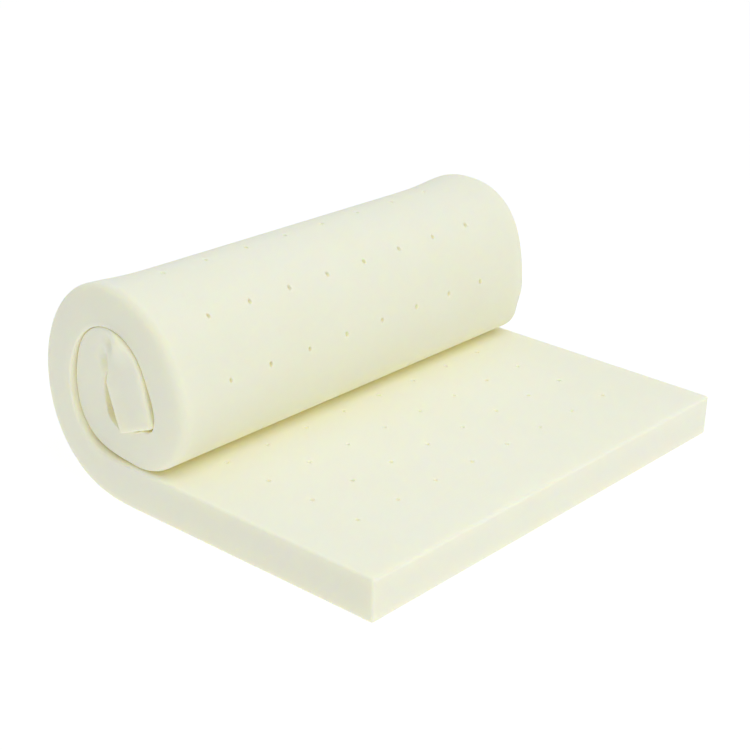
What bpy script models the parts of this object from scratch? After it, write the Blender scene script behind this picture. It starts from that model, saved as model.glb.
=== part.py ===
"""Ventilated foam mattress topper, partly unrolled.

One slab of soft foam lies flat at its front end and is wound up from its back end, with a short
free tongue inside the roll. The slab is first made the way it is cut: a flat block with soft
edges, punched with a square grid of vent holes. Then it is wound along a mid-line whose bend is
given by a table, a row for each fold, and settled so that the roll is fuller at its ends and a
little slimmer towards the far one.

Axes: +X from the roll to the free front edge, +Y along the roll, +Z up. Metres and degrees.
"""

from collections import namedtuple
import math

import bmesh
import bpy
import numpy as np

# ---------------------------------------------------------------- driving dimensions
WIDTH = 0.972             # of the slab, along the roll
THICKNESS = 0.078
EDGE_RADIUS = 0.005       # softness of the cut edges

HOLE_DIAMETER = 0.0074
HOLE_PITCH = 0.100        # both ways
HOLES_ACROSS = 8
HOLES_ALONG = 16
FRONT_MARGIN = 0.147      # from the front edge to the first row of holes
BACK_MARGIN = 0.192       # from the last row to the back edge
GRID_SHIFT = -0.006       # the punched grid sits a little towards the near side
LENGTH = FRONT_MARGIN + (HOLES_ALONG - 1) * HOLE_PITCH + BACK_MARGIN

# Where the slab bends, from the front edge along its mid-line. Bend is in degrees per metre of
# mid-line and changes evenly from one row to the next. Thickness is the slab's own, squeezed
# inside the roll and swollen at the folded tongue. Drift is how far that part of the slab has
# slid along the roll. Rim-in is how far its stretched outer rim is drawn in from the slab's end.
Fold = namedtuple("Fold", "place station bend thickness drift rim_in")
FOLDS = (
    Fold("flat", 0.000, 0, 0.078, 0.000, 0.000),
    Fold("lift-off", 0.555, 0, 0.078, 0.000, 0.000),
    Fold("rise", 0.610, 380, 0.076, 0.000, 0.003),
    Fold("lower back", 0.680, 470, 0.069, 0.000, 0.004),
    Fold("back", 0.760, 305, 0.064, 0.000, 0.003),
    Fold("upper back", 0.840, 280, 0.067, 0.000, 0.003),
    Fold("shoulder", 0.920, 375, 0.071, 0.000, 0.004),
    Fold("crown", 1.000, 550, 0.074, 0.000, 0.005),
    Fold("front crown", 1.080, 430, 0.072, 0.000, 0.005),
    Fold("upper front", 1.150, 455, 0.074, 0.000, 0.008),
    Fold("lower front", 1.220, 150, 0.075, 0.000, 0.010),
    Fold("nose", 1.275, 540, 0.071, 0.000, 0.010),
    Fold("under nose", 1.330, 930, 0.064, 0.000, 0.008),
    Fold("seat", 1.380, 690, 0.072, 0.003, 0.003),
    Fold("seat hollow", 1.445, -220, 0.051, 0.008, 0.000),
    Fold("lower heel", 1.485, 980, 0.061, 0.012, 0.000),
    Fold("heel", 1.515, 1250, 0.072, 0.013, 0.000),
    Fold("inner back", 1.555, 440, 0.074, 0.012, 0.000),
    Fold("upper inner back", 1.605, 430, 0.073, 0.009, 0.000),
    Fold("tuck", 1.650, 1120, 0.072, 0.003, 0.000),
    Fold("tuck end", 1.695, 1450, 0.072, -0.003, 0.000),
    Fold("tongue root", 1.740, 500, 0.088, -0.007, 0.000),
    Fold("tongue", 1.780, 0, 0.087, -0.008, 0.000),
    Fold("tongue tip", LENGTH, 0, 0.078, -0.008, 0.000),
)

# How the slab gives where it bends
NEUTRAL_OUT = 0.001       # the layer that keeps its length, outside the mid-line
RIM_REACH = 0.045         # how far in from the slab's end its outer rim is drawn in
TIP_SLANT = 0.010         # how much further the tongue's inner side reaches than its outer side
SLANT_FROM = 1.640        # that shear starts at this station
SLANT_REACH = 0.110       # and is full this much further on

# How the roll has settled
ROLL_X = -0.593           # middle of the roll, behind the front edge
ROLL_Z = 0.220
ROLL_RADIUS = 0.170
ROLL_TOP = 0.392          # height of its crown at the near end
END_FLARE = 0.007         # both ends stand out by this much
FLARE_REACH = 0.075       # from each end
NEAR_BULGE = 0.0045       # the near end's front side stands out by this much more
ROLL_DROP = 0.010         # it lies this much lower at the far end
ROLL_TAPER = 0.021        # its front side is this much further back at the far end
FRONT_FROM = -0.070       # the taper starts here, from the middle of the roll
FRONT_REACH = 0.270       # and is full this much further forward
FAR_SHOULDER = 0.013      # the far end's upper front stands forward by this much
SHOULDER_RISE = 0.6       # and up by this part of it
SETTLE_REACH = 0.094      # all this starts above the flat part and is full this much higher

# How finely the slab is scored so that it can bend
MOST_TURN = 17.0          # degrees from one score to the next
HOLE_PATCH = 0.009        # half the side of the flat patch around each hole
HOLE_SIDES = 8
EDGE_STEPS = 2
FINE_STEP = 0.001         # along the mid-line, for adding up the bend
SHARP_ANGLE = 35.0        # edges sharper than this stay crisp

FOAM_COLOUR = (0.90, 0.89, 0.74, 1.0)


# ---------------------------------------------------------------- the mid-line
def fold_column(name):
    """One column of the fold table as an array."""
    return np.array([getattr(fold, name) for fold in FOLDS])


def running_sum(rate):
    """The integral of a rate along the mid-line, by the trapezium rule, from zero."""
    steps = (rate[1:] + rate[:-1]) / 2 * FINE_STEP
    return np.concatenate([[0.0], np.cumsum(steps)])


def mid_line():
    """Station, flat length, x, z and heading along the mid-line.

    The heading starts towards -X and falls by the sum of the bend. The place is the sum of the
    heading's cosine and sine. The flat length is the station, and more by the turn times the
    distance out to the layer that keeps its length.
    """
    station = np.arange(0.0, LENGTH + TIP_SLANT, FINE_STEP)
    bend = np.interp(station, fold_column("station"), fold_column("bend"))
    turn = running_sum(np.radians(bend))
    heading = math.pi - turn
    x = running_sum(np.cos(heading))
    z = THICKNESS / 2 + running_sum(np.sin(heading))
    return station, station + NEUTRAL_OUT * turn, x, z, heading


# ---------------------------------------------------------------- winding and settling
def smooth_step(value):
    """0 below 0, 1 above 1, and 3 t^2 - 2 t^3 between."""
    t = np.clip(value, 0.0, 1.0)
    return t * t * (3.0 - 2.0 * t)


def wind(blank):
    """Blank points (-distance, across, height) carried onto the wound mid-line.

    The underside keeps half a thickness from the mid-line on its outer side, and the height is
    laid off from there through the slab's thickness at that fold. The tight fold at the core
    pushes the slab's inner side forward, so the end of the tongue is slanted.
    """
    across, height = blank[:, 1], blank[:, 2]
    line_station, flat_length, line_x, line_z, heading = mid_line()
    station = np.interp(-blank[:, 0], flat_length, line_station)
    shear = TIP_SLANT * smooth_step((station - SLANT_FROM) / SLANT_REACH)
    station = station + shear * (height / THICKNESS - 0.5)
    x = np.interp(station, line_station, line_x)
    z = np.interp(station, line_station, line_z)
    angle = np.interp(station, line_station, heading)
    folds = fold_column("station")
    thickness = np.interp(station, folds, fold_column("thickness"))
    out = THICKNESS / 2 - height / THICKNESS * thickness
    outer = np.clip(2 * out / THICKNESS, 0.0, 1.0)
    to_end = WIDTH / 2 - np.abs(across)
    rim_in = np.interp(station, folds, fold_column("rim_in"))
    give = rim_in * outer ** 2 * np.exp(-to_end / RIM_REACH)
    drift = np.interp(station, folds, fold_column("drift"))
    y = across - np.sign(across) * give + drift
    return np.column_stack([x - np.sin(angle) * out, y, z + np.cos(angle) * out])


def settle(points):
    """The wound slab as its weight leaves it.

    The roll is drawn in between its flared ends, lies lower and further back towards the far end,
    and has a fuller upper front there.
    """
    x, y, z = points.T
    off_floor = smooth_step((z - THICKNESS) / SETTLE_REACH)
    far = np.clip(y / WIDTH + 0.5, 0.0, 1.0)
    to_end = np.maximum(WIDTH / 2 - np.abs(y), 0.0)
    drawn_in = END_FLARE * (1.0 - np.exp(-(to_end / FLARE_REACH) ** 2))
    bulge = NEAR_BULGE * np.exp(-((y + WIDTH / 2) / FLARE_REACH) ** 2)
    forward = (x - ROLL_X) / ROLL_RADIUS
    front_side = smooth_step((x - ROLL_X - FRONT_FROM) / FRONT_REACH)
    back_by = drawn_in * forward + ROLL_TAPER * far * front_side - bulge * np.clip(forward, 0.0, 1.0)
    crown = np.maximum(z - THICKNESS, 0.0) / (ROLL_TOP - THICKNESS)
    lower_by = drawn_in * crown + ROLL_DROP * far * off_floor
    up_front = np.clip(forward, 0.0, 1.0) * np.clip((z - ROLL_Z) / ROLL_RADIUS, 0.0, 1.0)
    shoulder = 2.0 * FAR_SHOULDER * up_front * far ** 3
    settled_x = x - back_by * off_floor + shoulder
    settled_z = z - lower_by + SHOULDER_RISE * shoulder
    return np.column_stack([settled_x, y, settled_z])


# ---------------------------------------------------------------- the flat blank
def hole_rows():
    """Distances from the front edge to the rows of holes."""
    return FRONT_MARGIN + HOLE_PITCH * np.arange(HOLES_ALONG)


def hole_columns():
    """Places of the holes across the slab."""
    return GRID_SHIFT + HOLE_PITCH * (np.arange(HOLES_ACROSS) - (HOLES_ACROSS - 1) / 2)


def scores_along():
    """Cuts across the slab: beside each row of holes, and between them at equal turns."""
    rows = hole_rows()
    edges = np.sort(np.concatenate([rows - HOLE_PATCH, rows + HOLE_PATCH]))
    stops = np.concatenate([[EDGE_RADIUS], edges, [LENGTH - EDGE_RADIUS]])
    _, flat_length, _, _, heading = mid_line()
    turned = np.degrees(math.pi - heading)
    cuts = list(edges)
    for first, last in np.interp(list(zip(stops[:-1], stops[1:])), flat_length, turned):
        pieces = max(1, math.ceil((last - first) / MOST_TURN))
        turns = np.linspace(first, last, pieces + 1)[1:-1]
        cuts.extend(np.interp(turns, turned, flat_length))
    return sorted(cuts)


def scores_across():
    """Cuts along the slab: beside each column of holes, and one near each end for the flare."""
    columns = hole_columns()
    near_ends = WIDTH / 2 - THICKNESS / 2
    return sorted([*(columns - HOLE_PATCH), *(columns + HOLE_PATCH), -near_ends, near_ends])


def score(cut_mesh, place, normal):
    """One straight cut through the whole slab, which stays in one piece."""
    everything = cut_mesh.verts[:] + cut_mesh.edges[:] + cut_mesh.faces[:]
    bmesh.ops.bisect_plane(cut_mesh, geom=everything, plane_co=place, plane_no=normal)


def make_blank(collection):
    """The flat slab: a block with soft edges, scored where it has to bend."""
    block = bmesh.new()
    bmesh.ops.create_cube(block, size=1.0)
    bmesh.ops.scale(block, vec=(LENGTH, WIDTH, THICKNESS), verts=block.verts)
    bmesh.ops.translate(block, vec=(-LENGTH / 2, 0.0, THICKNESS / 2), verts=block.verts)
    bmesh.ops.bevel(
        block, geom=block.edges[:], offset=EDGE_RADIUS, offset_type="OFFSET",
        segments=EDGE_STEPS, profile=0.5, affect="EDGES",
    )
    for distance in scores_along():
        score(block, (-distance, 0.0, 0.0), (1.0, 0.0, 0.0))
    for across in scores_across():
        score(block, (0.0, across, 0.0), (0.0, 1.0, 0.0))
    mesh = bpy.data.meshes.new("flat_blank")
    block.to_mesh(mesh)
    block.free()
    blank = bpy.data.objects.new("flat_blank", mesh)
    collection.objects.link(blank)
    return blank


def make_punch(collection):
    """The hole punches: one pin, repeated over the square grid of holes."""
    bpy.ops.mesh.primitive_cylinder_add(
        vertices=HOLE_SIDES, radius=HOLE_DIAMETER / 2, depth=2 * THICKNESS,
        location=(-hole_rows()[0], hole_columns()[0], THICKNESS / 2),
        rotation=(0.0, 0.0, math.pi / HOLE_SIDES),
    )
    punch = bpy.context.active_object
    punch.name = "hole_punch"
    bpy.ops.object.transform_apply(location=False, rotation=True, scale=False)
    for name, count, offset in (
        ("rows", HOLES_ALONG, (-HOLE_PITCH, 0.0, 0.0)),
        ("columns", HOLES_ACROSS, (0.0, HOLE_PITCH, 0.0)),
    ):
        repeat = punch.modifiers.new(name, "ARRAY")
        repeat.count = count
        repeat.use_relative_offset = False
        repeat.use_constant_offset = True
        repeat.constant_offset_displace = offset
    for holder in list(punch.users_collection):
        holder.objects.unlink(punch)
    collection.objects.link(punch)
    return punch


def as_guide(guide):
    """Marks a cutter or a guide, which is not part of the object."""
    guide.hide_render = True
    guide.display_type = "WIRE"


# ---------------------------------------------------------------- the topper
def foam_material():
    """Pale cream memory foam, quite matt."""
    material = bpy.data.materials.new("cream_foam")
    material.use_nodes = True
    shader = material.node_tree.nodes["Principled BSDF"]
    shader.inputs["Base Color"].default_value = FOAM_COLOUR
    shader.inputs["Roughness"].default_value = 0.95
    shader.inputs["Metallic"].default_value = 0.0
    material.diffuse_color = FOAM_COLOUR
    return material


def make_topper(collection, cutters):
    """The punched blank, wound, settled and centred over the middle of its footprint."""
    blank = make_blank(cutters)
    punch = make_punch(cutters)
    holes = blank.modifiers.new("vent_holes", "BOOLEAN")
    holes.operation = "DIFFERENCE"
    holes.solver = "EXACT"
    holes.object = punch
    depsgraph = bpy.context.evaluated_depsgraph_get()
    mesh = bpy.data.meshes.new_from_object(blank.evaluated_get(depsgraph))
    mesh.name = "topper_foam"
    work = bmesh.new()
    work.from_mesh(mesh)
    bmesh.ops.triangulate(work, faces=work.faces[:])
    work.to_mesh(mesh)
    work.free()

    flat = np.empty(len(mesh.vertices) * 3)
    mesh.vertices.foreach_get("co", flat)
    wound = settle(wind(flat.reshape(-1, 3)))
    low, high = wound.min(axis=0), wound.max(axis=0)
    wound[:, :2] -= (low[:2] + high[:2]) / 2
    mesh.vertices.foreach_set("co", wound.ravel())
    mesh.shade_smooth()
    mesh.set_sharp_from_angle(angle=math.radians(SHARP_ANGLE))
    mesh.update()

    topper = bpy.data.objects.new("topper_foam", mesh)
    mesh.materials.clear()
    mesh.materials.append(foam_material())
    collection.objects.link(topper)
    as_guide(blank)
    as_guide(punch)
    return topper


def main():
    for leftover in list(bpy.data.objects):
        bpy.data.objects.remove(leftover, do_unlink=True)
    collection = bpy.data.collections.new("mattress_topper")
    cutters = bpy.data.collections.new("cutters")
    bpy.context.scene.collection.children.link(collection)
    bpy.context.scene.collection.children.link(cutters)
    topper = make_topper(collection, cutters)
    size = topper.dimensions
    print(f"topper {size.x:.3f} x {size.y:.3f} x {size.z:.3f} m, {len(topper.data.polygons)} triangles")


main()
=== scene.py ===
# %% [markdown]
# # A ventilated foam mattress topper, partly unrolled
#
# The topper is one slab of pale cream memory foam with a square grid of vent holes. Its front
# part lies flat. The rest is wound into a soft roll, with the last of it tucked inside as a short
# tongue. This lesson builds the slab flat, as a factory cuts and punches it, and then bends it
# into the roll. That way the holes, the edges and the grain of the foam all bend with it.
#
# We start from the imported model, which is the fixed frame for everything here.

# %% Load the frame
import math

import bpy
import numpy as np
from mathutils import Matrix, Vector


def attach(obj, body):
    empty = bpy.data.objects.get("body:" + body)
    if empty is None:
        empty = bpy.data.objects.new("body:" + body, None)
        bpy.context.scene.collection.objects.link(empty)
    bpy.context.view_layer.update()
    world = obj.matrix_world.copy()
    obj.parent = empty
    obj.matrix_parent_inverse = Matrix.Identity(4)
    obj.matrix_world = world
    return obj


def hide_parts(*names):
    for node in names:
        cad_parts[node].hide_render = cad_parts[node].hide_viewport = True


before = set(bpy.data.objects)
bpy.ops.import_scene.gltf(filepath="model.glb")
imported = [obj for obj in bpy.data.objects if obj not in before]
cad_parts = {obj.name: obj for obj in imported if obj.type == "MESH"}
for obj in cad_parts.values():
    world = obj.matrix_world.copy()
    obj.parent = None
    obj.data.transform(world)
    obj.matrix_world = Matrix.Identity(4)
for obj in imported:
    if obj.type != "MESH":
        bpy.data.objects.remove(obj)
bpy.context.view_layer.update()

# %% [markdown]
# ## The slab's sizes
#
# These are the sizes that the solid in the frame has: a twin size slab sold as 3 inch thick, with
# eight holes across it and sixteen along it. The holes are 100 mm apart both ways. All the sizes
# are in metres.

# %% Sizes of the slab and its holes
WIDTH = 0.972
THICKNESS = 0.078
HOLE_PITCH = 0.100
HOLES_ACROSS = 8
HOLES_ALONG = 16
FRONT_MARGIN = 0.147      # from the front edge to the first row of holes
BACK_MARGIN = 0.192       # from the last row to the back edge
GRID_SHIFT = -0.006       # the grid sits a little towards the near side
LENGTH = FRONT_MARGIN + (HOLES_ALONG - 1) * HOLE_PITCH + BACK_MARGIN
HOLE_RADIUS = 0.0037

hole_rows = FRONT_MARGIN + HOLE_PITCH * np.arange(HOLES_ALONG)
hole_columns = GRID_SHIFT + HOLE_PITCH * (np.arange(HOLES_ACROSS) - (HOLES_ACROSS - 1) / 2)
print(f"slab {LENGTH:.3f} x {WIDTH:.3f} x {THICKNESS:.3f} m, {hole_rows.size * hole_columns.size} holes")

# %% [markdown]
# ## Where the slab bends
#
# A roll of foam isn't a true spiral. It hugs what is under it, sags at its nose and folds tightly
# at its core. So its side view is given as a table: how sharply the middle of the slab turns at
# each station, in degrees for each metre. Adding up the turn gives the heading, and adding up
# the heading gives the line. The table also says how thick the squeezed foam is there, how far
# that part has slid along the roll, and how far its stretched outer rim draws in from the end.
#
# The solid has the same table, but its layers keep a little room between them. Here a few rows
# are 1 to 3 mm thicker, so that the layers nearly touch, as they do in the photograph.

# %% The fold table
FOLDS = np.array([
    # station   bend   thickness   drift    rim in
    (0.000,        0,    0.0780,    0.000,   0.000),    # flat
    (0.555,        0,    0.0780,    0.000,   0.000),    # lift-off
    (0.610,      380,    0.0760,    0.000,   0.003),    # rise
    (0.680,      470,    0.0690,    0.000,   0.004),    # lower back
    (0.760,      305,    0.0640,    0.000,   0.003),    # back
    (0.840,      280,    0.0670,    0.000,   0.003),    # upper back
    (0.920,      375,    0.0710,    0.000,   0.004),    # shoulder
    (1.000,      550,    0.0750,    0.000,   0.005),    # crown
    (1.080,      430,    0.0733,    0.000,   0.005),    # front crown
    (1.150,      455,    0.0740,    0.000,   0.008),    # upper front
    (1.220,      150,    0.0750,    0.000,   0.010),    # lower front
    (1.275,      540,    0.0710,    0.000,   0.010),    # nose
    (1.330,      930,    0.0670,    0.000,   0.008),    # under nose
    (1.380,      690,    0.0740,    0.003,   0.003),    # seat
    (1.445,     -220,    0.0510,    0.008,   0.000),    # seat hollow
    (1.485,      980,    0.0630,    0.012,   0.000),    # lower heel
    (1.515,     1250,    0.0720,    0.013,   0.000),    # heel
    (1.555,      440,    0.0740,    0.012,   0.000),    # inner back
    (1.605,      430,    0.0730,    0.009,   0.000),    # upper inner back
    (1.650,     1120,    0.0720,    0.003,   0.000),    # tuck
    (1.695,     1450,    0.0720,   -0.003,   0.000),    # tuck end
    (1.740,      500,    0.0880,   -0.007,   0.000),    # tongue root
    (1.780,        0,    0.0870,   -0.008,   0.000),    # tongue
    (LENGTH,       0,    0.0780,   -0.008,   0.000),    # tongue tip
])
fold_station, fold_bend, fold_thickness, fold_drift, fold_rim_in = FOLDS.T

FINE_STEP = 0.001
NEUTRAL_OUT = 0.001       # how far outside the mid-line the layer lies that keeps its length
TIP_SLANT = 0.010         # how much further the tongue's inner side reaches than its outer side
SLANT_FROM, SLANT_REACH = 1.640, 0.110


def running_sum(rate):
    """The integral of a rate along the line, by the trapezium rule, from zero."""
    steps = (rate[1:] + rate[:-1]) / 2 * FINE_STEP
    return np.concatenate([[0.0], np.cumsum(steps)])


line_station = np.arange(0.0, LENGTH + TIP_SLANT, FINE_STEP)
line_turn = running_sum(np.radians(np.interp(line_station, fold_station, fold_bend)))
line_heading = math.pi - line_turn
line_x = running_sum(np.cos(line_heading))
line_z = THICKNESS / 2 + running_sum(np.sin(line_heading))
flat_length = line_station + NEUTRAL_OUT * line_turn
print(f"the slab turns through {np.degrees(line_turn[-1]):.0f} degrees")

# %% [markdown]
# ## Cutting lines for the flat slab
#
# The mesh is a grid laid over the flat slab. Its lines are close together where the shape needs
# them: at the soft edges, around each hole, and where the slab turns fast. Round each hole the
# lines are placed at the tangents of equal angles. A square of such lines has sixteen points that
# lie in even directions from its middle, so it passes smoothly into a sixteen-sided circle.

# %% Grid lines
PATCH = 0.009             # half the side of the square patch around each hole
PATCH_PARTS = 4           # grid steps along each side of it
EDGE_LINES = np.array([0.0, 0.0012, 0.0026, 0.0042, 0.0065, 0.0095, 0.0130, 0.0175, 0.0240])
LONG_STEP = 0.0105        # widest step along the slab,
CROSS_STEP = 0.0140       # across it,
THROUGH_STEP = 0.0105     # and through it
TURN_STEP = math.radians(4.5)
WELD_DIGITS = 7           # places are kept to a tenth of a micrometre
ROUNDING = 1e-6           # an error of rounding this small doesn't ask for one more step

patch_lines = PATCH * np.tan(np.linspace(-math.pi / 4, math.pi / 4, PATCH_PARTS + 1))


def around(places):
    """The patch lines around each of these places, as one flat array."""
    return (places[:, None] + patch_lines).ravel()


def fill(first, last, step, turns=False):
    """Even lines between two fixed ones, with none at the ends themselves.

    There are as many as the widest step asks for. Where the slab turns, there are as many as the
    turn step asks for, and they lie at even turns. Narrow gaps aren't divided by turns, because
    the lines of a hole's patch have to meet the points of its square.
    """
    parts = math.ceil((last - first) / step - ROUNDING)
    if turns and last - first >= PATCH:
        first_turn, last_turn = np.interp((first, last), flat_length, line_turn)
        turn_parts = (last_turn - first_turn) / TURN_STEP
        if turn_parts > parts:
            even_turns = np.linspace(first_turn, last_turn, math.ceil(turn_parts) + 1)[1:-1]
            return np.interp(even_turns, line_turn, flat_length)
    return np.linspace(first, last, parts + 1)[1:-1]


def all_lines(fixed, step, turns=False):
    """The fixed lines and the filling between them, in order."""
    fixed = np.unique(np.round(fixed, WELD_DIGITS))
    gaps = [fill(a, b, step, turns) for a, b in zip(fixed[:-1], fixed[1:])]
    return np.sort(np.concatenate([fixed, *gaps]))


long_lines = all_lines(
    np.concatenate([EDGE_LINES, around(hole_rows), LENGTH - EDGE_LINES]), LONG_STEP, turns=True)
cross_lines = all_lines(
    np.concatenate([EDGE_LINES - WIDTH / 2, around(hole_columns), WIDTH / 2 - EDGE_LINES]), CROSS_STEP)
height_lines = all_lines(np.concatenate([EDGE_LINES, THICKNESS - EDGE_LINES]), THROUGH_STEP)
print(f"{long_lines.size} lines along, {cross_lines.size} across, {height_lines.size} through")

# %% [markdown]
# ## Faces of the flat slab
#
# Each face of the slab is a grid of two of the three sets of lines. `sheet_of_quads` turns any grid
# of points into four-sided faces. The two broad faces leave out the squares around the holes,
# because the collars of the holes fill them.

# %% Broad faces and cut sides


def sheet_of_quads(points, flip=False):
    """Faces between neighbours of a grid of points of shape (rows, columns, 3).

    Each face takes a point, the next in its row, the one across from it, and the next in its
    column. Flipped, it takes them the other way round.
    """
    a, b = points[:-1, :-1], points[:-1, 1:]
    d, c = points[1:, :-1], points[1:, 1:]
    corners = (a, d, c, b) if flip else (a, b, c, d)
    return np.stack(corners, axis=-2).reshape(-1, 4, 3)


def near_a_hole(quads):
    """True for the faces whose middle is inside a hole's square patch."""
    middle = quads.mean(axis=1)
    along = np.abs(-middle[:, :1] - hole_rows).min(axis=1)
    across = np.abs(middle[:, 1:2] - hole_columns).min(axis=1)
    return (along < PATCH) & (across < PATCH)


def broad_face(height, flip):
    """The grid at one height, without the patches around the holes."""
    along, across = np.meshgrid(long_lines, cross_lines, indexing="ij")
    quads = sheet_of_quads(np.stack([-along, across, np.full_like(along, height)], axis=-1), flip)
    return quads[~near_a_hole(quads)]


def long_side(across, flip):
    """A cut side along the slab."""
    along, height = np.meshgrid(long_lines, height_lines, indexing="ij")
    return sheet_of_quads(np.stack([-along, np.full_like(along, across), height], axis=-1), flip)


def short_side(distance, flip):
    """The cut at the front or the back end of the slab."""
    across, height = np.meshgrid(cross_lines, height_lines, indexing="ij")
    return sheet_of_quads(np.stack([np.full_like(across, -distance), across, height], axis=-1), flip)


outside = [
    broad_face(0.0, flip=False), broad_face(THICKNESS, flip=True),
    long_side(-WIDTH / 2, flip=True), long_side(WIDTH / 2, flip=False),
    short_side(0.0, flip=False), short_side(LENGTH, flip=True),
]
print("faces of the outside:", [len(part) for part in outside])

# %% [markdown]
# ## Vent holes
#
# The real holes are punched with a thin tube. The foam closes in a little behind the punch, so
# each hole has a softly broken lip and a slightly uneven width. A hole here is a stack of rings:
# the square of the patch, a collar that passes from square to circle, the lip, the wall, and the
# same again on the other face. The points of all 128 holes are worked out as one array.

# %% The holes as stacks of rings
LIP = 0.0018              # how wide and how deep the broken lip is
HOLE_SIDES = 4 * PATCH_PARTS
NARROWEST, WIDEST = 0.90, 1.08      # of a hole, as a share of the usual radius
HOLE_SEED = 20

angle = math.radians(-135.0) + 2 * math.pi * np.arange(HOLE_SIDES + 1) / HOLE_SIDES
circle = np.stack([np.cos(angle), np.sin(angle)], axis=-1)
square = PATCH * circle / np.abs(circle).max(axis=1, keepdims=True)

# A row for each ring from the top face to the middle: how far from square to circle, how much
# wider than the hole, and how deep.
RINGS = np.array([
    (0.00, 0.0000, 0.0000),
    (0.55, 0.0000, 0.0000),
    (1.00, LIP, 0.0000),
    (1.00, 0.35 * LIP, 0.3 * LIP),
    (1.00, 0.00, LIP),
    (1.00, 0.00, 0.012),
    (1.00, 0.00, 0.026),
])
upper = RINGS * (1, 1, -1) + (0, 0, THICKNESS)
rings = np.concatenate([upper, [(1.0, 0.0, THICKNESS / 2)], RINGS[::-1]])

random = np.random.default_rng(HOLE_SEED)
hole_x, hole_y = [grid.ravel() for grid in np.meshgrid(-hole_rows, hole_columns, indexing="ij")]
hole_radii = HOLE_RADIUS * random.uniform(NARROWEST, WIDEST, hole_x.size)


def hole_rings():
    """Points of every ring of every hole, of shape (holes, rings, sides + 1, 3).

    A ring's point is its share of the square's point plus the rest of the circle's point, moved to
    the hole's place.
    """
    blend, wider, height = rings.T
    size = hole_radii[:, None] + wider
    round_part = size[:, :, None, None] * circle
    flat = (1 - blend)[:, None, None] * square + blend[:, None, None] * round_part
    flat += np.stack([hole_x, hole_y], axis=-1)[:, None, None, :]
    tall = np.broadcast_to(height[:, None, None], flat.shape[:-1] + (1,))
    return np.concatenate([flat, tall], axis=-1)


walls = [sheet_of_quads(one_hole, flip=True) for one_hole in hole_rings()]
print(f"{len(walls)} holes of {len(walls[0])} faces each")

# %% [markdown]
# ## One closed skin
#
# The parts share the points along their edges. Rounding every point to a tenth of a micrometre and
# keeping each place once welds them into one closed skin, the same job that merging by distance
# does in Blender. In a closed skin each edge belongs to two faces, so that is counted too.

# %% Weld the faces
WELD = 10.0 ** WELD_DIGITS
corners = np.concatenate(outside + walls).reshape(-1, 3)
keys, index = np.unique(np.round(corners * WELD).astype(np.int64), axis=0, return_inverse=True)
blank = keys / WELD
faces = index.reshape(-1, 4)
edges = np.sort(np.stack([faces, np.roll(faces, -1, axis=1)], axis=-1).reshape(-1, 2), axis=1)
edge_uses = np.unique(edges, axis=0, return_counts=True)[1]
print(f"{len(blank)} points, {len(faces)} faces, {(edge_uses != 2).sum()} open edges")

# %% [markdown]
# ## Soft edges
#
# Foam is cut with a hot wire or a saw, and its edges rub soft. On the flat part they are about
# 5 mm round. Where the slab is bent, its outer rim is stretched over the bend and looks much
# rounder, like the end of a bolster. To round a box, each point of its skin is taken back to the
# box that lies one radius inside, and then pushed out again by one radius in a straight line.

# %% Round the edges
FLAT_ROUND = 0.005        # radius of the edges where the slab is flat
BACK_ROUND = 0.008        # of the outer rim up the roll's back
NEAR_FRONT_ROUND = 0.016  # of the near outer rim down the roll's front
FAR_FRONT_ROUND = 0.005   # of the far outer rim there
FAR_NOSE_ROUND = 0.023    # and of the far outer rim under the roll's nose
INNER_ROUND = 0.004       # of the inner rim in the roll
CORE_ROUND = 0.0035       # of both rims inside the roll
TONGUE_ROUND = 0.008      # of the outer rim at the tongue

# Where along the slab each stretch starts, and over what distance its rounding fades in.
ON_ROLL = (0.56, 0.16)
ON_FRONT = (0.98, 0.12)
ON_NOSE = (1.27, 0.05)
ON_TONGUE = (1.66, 0.08)
NEAR_INSIDE_FROM, FAR_INSIDE_FROM, INSIDE_REACH = 1.30, 1.36, 0.10
TINY = 1e-9               # shorter than any length that matters


def smooth_step(value):
    """0 below 0, 1 above 1, and 3 t^2 - 2 t^3 between."""
    t = np.clip(value, 0.0, 1.0)
    return t * t * (3.0 - 2.0 * t)


def fade_in(place, start, reach):
    """0 up to the start, 1 from one reach beyond it, and a smooth step between."""
    return smooth_step((place - start) / reach)


def between(first, second, share):
    """The value at this share of the way from the first to the second."""
    return first + (second - first) * share


def edge_radius(distance, across, height):
    """The rounding at a point: soft on the roll's outside, small on the flat part and inside."""
    underside = height < THICKNESS / 2
    far_side = across > 0
    far_front = between(FAR_FRONT_ROUND, FAR_NOSE_ROUND, fade_in(distance, *ON_NOSE))
    front = np.where(far_side, far_front, NEAR_FRONT_ROUND)
    outer_rim = between(BACK_ROUND, front, fade_in(distance, *ON_FRONT))
    rolled = np.where(underside, outer_rim, INNER_ROUND)
    tongue_rim = between(CORE_ROUND, TONGUE_ROUND, fade_in(distance, *ON_TONGUE))
    core = np.where(underside, tongue_rim, CORE_ROUND)
    inside_from = np.where(far_side, FAR_INSIDE_FROM, NEAR_INSIDE_FROM)
    seen = between(FLAT_ROUND, rolled, fade_in(distance, *ON_ROLL))
    return between(seen, core, fade_in(distance, inside_from, INSIDE_REACH))


def soften(points):
    """The box's skin with round edges: back to the inner box, then out by the radius.

    Points of the hole walls lie away from the edges in both flat directions and stay.
    """
    r = edge_radius(-points[:, 0], points[:, 1], points[:, 2])[:, None]
    low = np.array([-LENGTH, -WIDTH / 2, 0.0]) + r
    high = np.array([0.0, WIDTH / 2, THICKNESS]) - r
    inner = np.clip(points, low, high)
    outward = points - inner
    at_edge = np.any(np.abs(outward[:, :2]) > TINY, axis=1)
    length = np.linalg.norm(outward, axis=1, keepdims=True)
    rounded = inner + outward / np.maximum(length, TINY) * r
    return np.where(at_edge[:, None], rounded, points)


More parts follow.
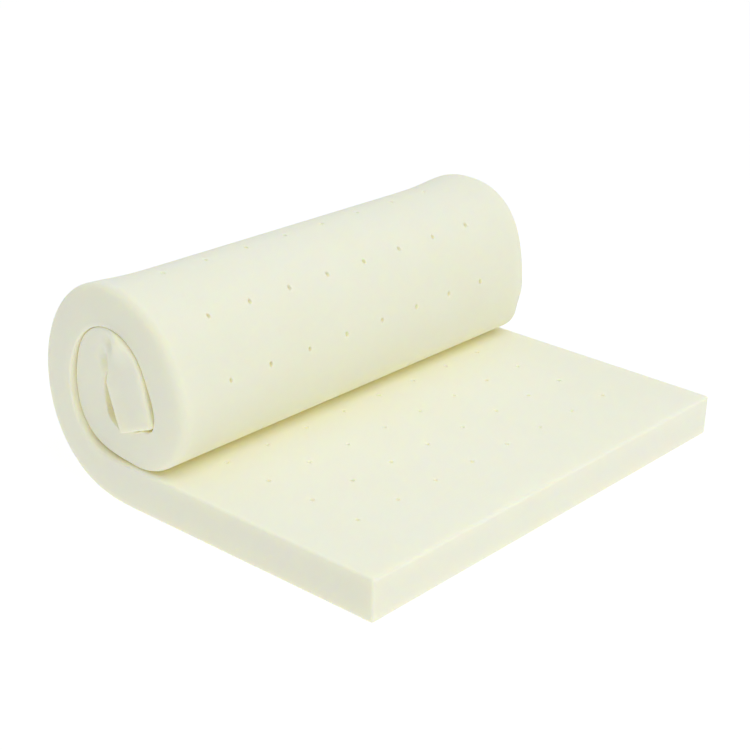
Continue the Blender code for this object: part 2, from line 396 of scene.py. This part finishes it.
soft_blank = soften(blank)
print(f"edges moved by up to {1000 * np.linalg.norm(soft_blank - blank, axis=1).max():.1f} mm")

# %% [markdown]
# ## Winding the slab
#
# Each point of the flat slab has a distance from the front edge, a place across it, and a height.
# The distance says which station of the line it belongs to. The height is laid off square to the
# line there. At the ends of the roll the stretched outer rim is drawn in, so the ends are domed.
# Where the slab folds back on itself, its ends are creased beside the fold and swell inside it,
# and the fold pushes the slab's inner side forward, so that the end of the tongue is slanted.

# %% Wind it onto the line
RIM_REACH = 0.045         # how far in from the slab's end its outer rim is drawn in
DENT_REACH = 0.030        # how far in from the end a dent or a swelling reaches
TUCK_FROM = 1.58          # only the slab's last part has them

# A row for each dent (inward) or swelling (outward) of both ends: its middle seen from the side,
# its half width in both directions, and how far in it goes.
DENTS = np.array([
    # x        z       wide     tall     in
    (-0.614,  0.255,  0.010,   0.022,   0.013),    # crease beside the fold
    (-0.597,  0.291,  0.012,   0.015,   0.010),    # and above it
    (-0.564,  0.300,  0.022,   0.026,  -0.010),    # swelling in front of it
])


def wind(flat_points):
    """Flat points carried onto the wound line.

    The underside keeps half a thickness from the line on its outer side, and the height is laid
    off from there through the foam's thickness at that station.
    """
    across, height = flat_points[:, 1], flat_points[:, 2]
    station = np.interp(-flat_points[:, 0], flat_length, line_station)
    shear = TIP_SLANT * fade_in(station, SLANT_FROM, SLANT_REACH)
    station = station + shear * height / THICKNESS
    heading = np.interp(station, line_station, line_heading)
    thickness = np.interp(station, fold_station, fold_thickness)
    out = THICKNESS / 2 - height / THICKNESS * thickness
    x = np.interp(station, line_station, line_x) - np.sin(heading) * out
    z = np.interp(station, line_station, line_z) + np.cos(heading) * out
    to_end = WIDTH / 2 - np.abs(across)
    outer = np.clip(2 * out / THICKNESS, 0.0, 1.0)
    give = np.interp(station, fold_station, fold_rim_in) * outer ** 2 * np.exp(-to_end / RIM_REACH)
    for dent_x, dent_z, wide, tall, deep in DENTS:
        spread = np.exp(-((x - dent_x) / wide) ** 2 - ((z - dent_z) / tall) ** 2)
        give += deep * spread * np.exp(-to_end / DENT_REACH) * (station > TUCK_FROM)
    y = across - np.sign(across) * give + np.interp(station, fold_station, fold_drift)
    return np.column_stack([x, y, z])


wound = wind(soft_blank)
print("wound size:", np.round(np.ptp(wound, axis=0), 3))

# %% [markdown]
# ## How the roll settles
#
# The free roll isn't a straight cylinder. Its two ends stand out a little like a drum, because
# nothing holds the foam there. Towards the far end it lies lower and slimmer, with a fuller
# shoulder. All of it fades out above the flat part, which stays flat on the floor.

# %% Settle it
ROLL_X, ROLL_Z = -0.593, 0.220      # the roll's middle, seen from the side
ROLL_RADIUS = 0.170
ROLL_TOP = 0.392
END_FLARE = 0.007         # how much the roll is drawn in between its ends
NEAR_BULGE = 0.0045       # how much more the front stands out at the near end
FLARE_REACH = 0.075       # how far in from the ends the flare and the bulge fade
ROLL_DROP = 0.010         # how much lower the far end lies
ROLL_TAPER = 0.021        # how much slimmer it is in front
FRONT_FROM, FRONT_REACH = -0.070, 0.270     # where the taper starts, from the roll's middle
FAR_SHOULDER = 0.026      # how far the shoulder stands forward at the far end
SHOULDER_RISE = 0.6       # how far it goes up, as a share of that
SETTLE_REACH = 0.094      # the height above the flat part in which all of it fades in


def settle(points):
    """The roll drawn in between its flared ends, lower, slimmer and fuller in front at its far end."""
    x, y, z = points.T
    off_floor = fade_in(z, THICKNESS, SETTLE_REACH)
    far = np.clip(y / WIDTH + 0.5, 0.0, 1.0)
    to_end = np.maximum(WIDTH / 2 - np.abs(y), 0.0)
    drawn_in = END_FLARE * (1.0 - np.exp(-(to_end / FLARE_REACH) ** 2))
    bulge = NEAR_BULGE * np.exp(-((y + WIDTH / 2) / FLARE_REACH) ** 2)
    forward = (x - ROLL_X) / ROLL_RADIUS
    front_side = fade_in(x - ROLL_X, FRONT_FROM, FRONT_REACH)
    back_by = drawn_in * forward + ROLL_TAPER * far * front_side - bulge * np.clip(forward, 0.0, 1.0)
    crown = np.maximum(z - THICKNESS, 0.0) / (ROLL_TOP - THICKNESS)
    lower_by = drawn_in * crown + ROLL_DROP * far * off_floor
    up_front = np.clip(forward, 0.0, 1.0) * np.clip((z - ROLL_Z) / ROLL_RADIUS, 0.0, 1.0)
    shoulder = FAR_SHOULDER * up_front * far ** 3
    return np.column_stack([x - back_by * off_floor + shoulder, y, z - lower_by + SHOULDER_RISE * shoulder])


settled = settle(wound)
print("settled size:", np.round(np.ptp(settled, axis=0), 3))

# %% [markdown]
# ## Into the frame
#
# The solid in the frame says where the slab's front edge is and where its middle lies, so the
# new mesh is moved to the same place. The object itself stays at the origin. The flat place of
# each point is kept as an attribute, so that the foam's grain can follow the slab round the roll.
# A second attribute marks the cut sides.

# %% Make the mesh
FLAT_SAMPLE = 0.2         # this much of the solid's front end is surely flat
CUT_FADE = 0.004          # how far in from the edge the cut side's mark fades out

cad_points = np.array([vertex.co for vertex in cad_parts["topper_foam"].data.vertices])
cad_front = cad_points[cad_points[:, 0] > cad_points[:, 0].max() - FLAT_SAMPLE]
front_x = cad_front[:, 0].max()
middle_y = (cad_front[:, 1].min() + cad_front[:, 1].max()) / 2
placed = settled + (front_x, middle_y, 0.0)


def on_cut_side(points):
    """1 on the cut sides and ends, fading to 0 over the round edges."""
    to_side = WIDTH / 2 - np.abs(points[:, 1])
    to_end = np.minimum(-points[:, 0], LENGTH + points[:, 0])
    return (1 - smooth_step(np.minimum(to_side, to_end) / CUT_FADE)).astype(np.float32)


def new_object(name, data):
    """An object with this data, linked to the scene."""
    item = bpy.data.objects.new(name, data)
    bpy.context.scene.collection.objects.link(item)
    return item


mesh = bpy.data.meshes.new("topper")
mesh.from_pydata(placed.tolist(), [], faces.tolist())
for name, kind, field, values in (
    ("flat_place", "FLOAT_VECTOR", "vector", soft_blank),
    ("cut_side", "FLOAT", "value", on_cut_side(blank)),
):
    attribute = mesh.attributes.new(name, kind, "POINT")
    attribute.data.foreach_set(field, np.asarray(values, np.float32).ravel())
mesh.shade_smooth()
mesh.update()
topper = new_object("topper", mesh)
print(f"topper: {len(mesh.vertices)} points, {2 * len(mesh.polygons)} triangles")

# %% [markdown]
# ## The foam's look
#
# Memory foam is matt and pale. Close up it is a mass of tiny open cells with a few larger bubbles,
# and its colour drifts a little from place to place. Light goes in and out of it many times, so
# hollows glow yellow instead of turning grey. A high, slightly yellow base colour does that by
# itself, because each bounce multiplies the colour once more. The cells are bump at their real
# size, about a millimetre, with bubbles about 2 mm wide between them.

# %% Foam material
FOAM = (0.972, 0.950, 0.770, 1.0)
FOAM_DEEP = (0.940, 0.905, 0.660, 1.0)
FOAM_SURFACE = {
    "Roughness": 0.92,
    "Specular IOR Level": 0.22,
    "Subsurface Weight": 1.0,
    "Subsurface Radius": (1.0, 0.85, 0.45),
    "Subsurface Scale": 0.014,
}
DRIFTS, SPECKLES, CELLS, BUBBLES = 7.0, 420.0, 850.0, 210.0     # for each metre
BUBBLE_RADIUS = 0.22      # as a share of the distance between two bubbles
CELL_DEPTH = 0.00025
BROAD_RELIEF, CUT_RELIEF = 0.25, 0.45       # strength of the bump on the broad faces and the cuts


def add(tree, kind, **settings):
    """A new node with these settings: sockets by their name, other properties by theirs."""
    node = tree.nodes.new(kind)
    for name, value in settings.items():
        if hasattr(node, name):
            setattr(node, name, value)
        else:
            node.inputs[name.replace("_", " ")].default_value = value
    return node


def set_sockets(node, values):
    """Give the node's input sockets, by their names, these values."""
    for name, value in values.items():
        node.inputs[name].default_value = value


def remap(tree, source, low, high, new_low, new_high):
    """The output that carries the range from low to high of a source to a new range."""
    node = add(tree, "ShaderNodeMapRange", From_Min=low, From_Max=high, To_Min=new_low, To_Max=new_high)
    tree.links.new(source, node.inputs["Value"])
    return node.outputs["Result"]


def total(tree, first, second):
    """The output that adds two outputs."""
    node = add(tree, "ShaderNodeMath", operation="ADD")
    tree.links.new(first, node.inputs[0])
    tree.links.new(second, node.inputs[1])
    return node.outputs["Value"]


def cream_foam():
    """Pale, matt foam: a drift of colour, and open cells as bump, deeper on the cut sides."""
    material = bpy.data.materials.new("cream_foam_open_cell")
    material.use_nodes = True
    tree = material.node_tree
    link = tree.links.new
    shader = tree.nodes["Principled BSDF"]
    set_sockets(shader, FOAM_SURFACE)

    flat_place = add(tree, "ShaderNodeAttribute", attribute_name="flat_place")
    cut_side = add(tree, "ShaderNodeAttribute", attribute_name="cut_side")
    drift = add(tree, "ShaderNodeTexNoise", Scale=DRIFTS, Detail=3.0, Roughness=0.5)
    speckle = add(tree, "ShaderNodeTexNoise", Scale=SPECKLES, Detail=2.0, Roughness=0.6)
    cells = add(tree, "ShaderNodeTexVoronoi", Scale=CELLS)
    bubbles = add(tree, "ShaderNodeTexVoronoi", Scale=BUBBLES)
    for texture in (drift, speckle, cells, bubbles):
        link(flat_place.outputs["Vector"], texture.inputs["Vector"])

    # A little of the deeper colour, in wide drifts and in fine speckles.
    wide_drift = remap(tree, drift.outputs["Fac"], 0.35, 0.75, 0.0, 0.22)
    fine_grain = remap(tree, speckle.outputs["Fac"], 0.30, 0.70, -0.06, 0.10)
    tone = add(tree, "ShaderNodeMix", data_type="RGBA", A=FOAM, B=FOAM_DEEP)
    link(total(tree, wide_drift, fine_grain), tone.inputs["Factor"])
    link(tone.outputs["Result"], shader.inputs["Base Color"])

    # The relief: cells all over, and a pit at each bubble.
    pits = remap(tree, bubbles.outputs["Distance"], 0.0, BUBBLE_RADIUS, 0.0, 1.0)
    bump = add(tree, "ShaderNodeBump", Distance=CELL_DEPTH)
    link(total(tree, cells.outputs["Distance"], pits), bump.inputs["Height"])
    strength = remap(tree, cut_side.outputs["Fac"], 0.0, 1.0, BROAD_RELIEF, CUT_RELIEF)
    link(strength, bump.inputs["Strength"])
    link(bump.outputs["Normal"], shader.inputs["Normal"])
    return material


mesh.materials.append(cream_foam())
print("material:", mesh.materials[0].name)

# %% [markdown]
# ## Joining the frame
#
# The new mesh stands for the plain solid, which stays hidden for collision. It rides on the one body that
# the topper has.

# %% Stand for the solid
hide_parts("topper_foam")
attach(topper, "root")
print("the topper rides on root and replaces topper_foam")

# %% [markdown]
# ## The studio
#
# The photograph was taken in a bright tent of white light, so there is hardly any shadow. A white
# surround, brighter above than at the sides, gives most of the light. A wide, weak panel from the
# upper right lights the tops and the front of the roll. The floor is white paper, lit from below.
# Light bounces many times in the narrow wedge beside the roll, so many bounces are followed.

# %% Floor and light
FLOOR_REACH = 9.0
PAPER_SURFACE = {
    "Base Color": (0.25, 0.25, 0.25, 1.0),
    "Roughness": 0.9,
    "Specular IOR Level": 0.1,
    "Emission Color": (1.0, 1.0, 1.0, 1.0),
    "Emission Strength": 0.825,
}
SKY_COLOUR = (0.957, 0.981, 0.970, 1.0)
SKY_AT_SIDES, SKY_OVERHEAD = 0.20, 0.91
BOUNCES = 32


def white_floor():
    """A wide square of white paper at floor height."""
    r = FLOOR_REACH
    floor_mesh = bpy.data.meshes.new("floor")
    floor_mesh.from_pydata([(-r, -r, 0), (r, -r, 0), (r, r, 0), (-r, r, 0)], [], [(0, 1, 2, 3)])
    paper = bpy.data.materials.new("white_paper")
    paper.use_nodes = True
    set_sockets(paper.node_tree.nodes["Principled BSDF"], PAPER_SURFACE)
    floor_mesh.materials.append(paper)
    return new_object("floor", floor_mesh)


def white_tent():
    """A white surround whose strength grows with the height of the direction."""
    world = bpy.data.worlds.new("tent")
    world.use_nodes = True
    tree = world.node_tree
    surround = tree.nodes["Background"]
    surround.inputs["Color"].default_value = SKY_COLOUR
    direction = add(tree, "ShaderNodeTexCoord")
    parts = add(tree, "ShaderNodeSeparateXYZ")
    tree.links.new(direction.outputs["Generated"], parts.inputs["Vector"])
    strength = remap(tree, parts.outputs["Z"], 0.0, 1.0, SKY_AT_SIDES, SKY_OVERHEAD)
    tree.links.new(strength, surround.inputs["Strength"])
    return world


def panel(name, place, target, size, power):
    """A square soft light at one place, facing a target."""
    light = bpy.data.lights.new(name, "AREA")
    light.size = size
    light.energy = power
    lamp = new_object(name, light)
    lamp.location = place
    lamp.rotation_euler = (Vector(target) - Vector(place)).to_track_quat("-Z", "Y").to_euler()


floor = white_floor()
scene = bpy.context.scene
scene.world = white_tent()
panel("right_panel", place=(2.3, -0.4, 3.6), target=(0.0, 0.0, 0.15), size=3.0, power=54.0)
scene.view_settings.view_transform = "Standard"
scene.cycles.max_bounces = BOUNCES
scene.cycles.diffuse_bounces = BOUNCES
print("floor, surround and one soft panel")

# %% [markdown]
# ## The camera
#
# The place of the camera was worked out from the corners of the slab and the grid of holes in the
# photograph. It stands 3.1 m away, a little above the topper, and leans two degrees to one side.
# The lens is a short telephoto, so there is little perspective.

# %% Camera
AZIMUTH, ELEVATION, LEAN = math.radians(40.21), math.radians(23.22), math.radians(1.93)
AIM_FROM_FRONT = Vector((-0.3581, -0.0758, 0.1827))     # from the middle of the slab's front edge
CAMERA_DISTANCE = 3.127
FOCAL_LENGTH, SENSOR_WIDTH = 84.54, 36.0                # in millimetres

level = math.cos(ELEVATION)
back = Vector((math.sin(AZIMUTH) * level, -math.cos(AZIMUTH) * level, math.sin(ELEVATION)))
level_right = Vector((math.cos(AZIMUTH), math.sin(AZIMUTH), 0.0))
level_up = back.cross(level_right)
right = math.cos(LEAN) * level_right + math.sin(LEAN) * level_up
up = back.cross(right)
camera_data = bpy.data.cameras.new("camera")
camera_data.sensor_width = SENSOR_WIDTH
camera_data.lens = FOCAL_LENGTH
camera = new_object("camera", camera_data)
camera_place = Vector((front_x, middle_y, 0.0)) + AIM_FROM_FRONT + back * CAMERA_DISTANCE
turned = Matrix((right, up, back)).transposed().to_4x4()
camera.matrix_world = Matrix.Translation(camera_place) @ turned
scene.camera = camera
print("camera at", [round(value, 3) for value in camera_place])
